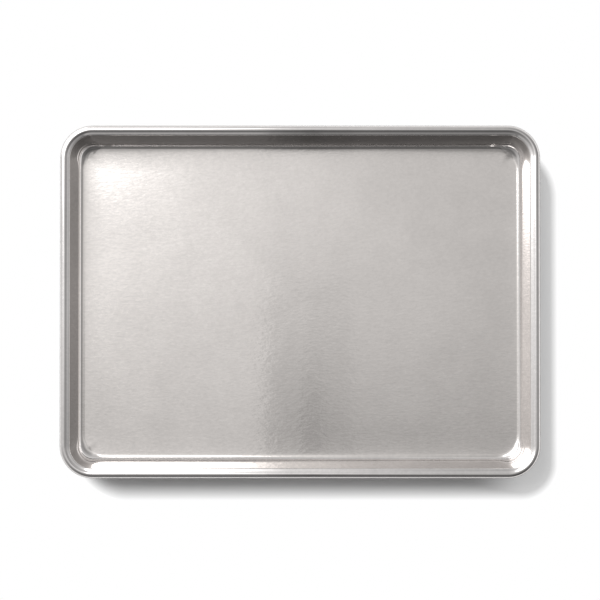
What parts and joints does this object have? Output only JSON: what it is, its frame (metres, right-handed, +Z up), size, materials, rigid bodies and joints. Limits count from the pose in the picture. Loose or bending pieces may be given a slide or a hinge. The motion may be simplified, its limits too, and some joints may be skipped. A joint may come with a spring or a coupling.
{
  "type": "jelly roll pan",
  "caption": "Shallow rectangular baking pan drawn from one aluminium sheet, with sloping walls, rounded corners and an edge curled round a steel wire.",
  "frame": {"origin": "middle of the flat underside, on the surface that the pan stands on", "axes": "+X along the pan's length, +Y across its width, +Z up out of the pan"},
  "size_m": [0.4064, 0.2984, 0.0254],
  "materials": {
    "pan_sheet": "natural mill finish, satin, with fine grain along the pan and light scuffs",
    "wire_steel": "zinc plated drawn wire, satin"
  },
  "bodies": {
    "root": {"pan_shell": "pan_sheet", "rim_wire": "wire_steel"}
  },
  "joints": []
}
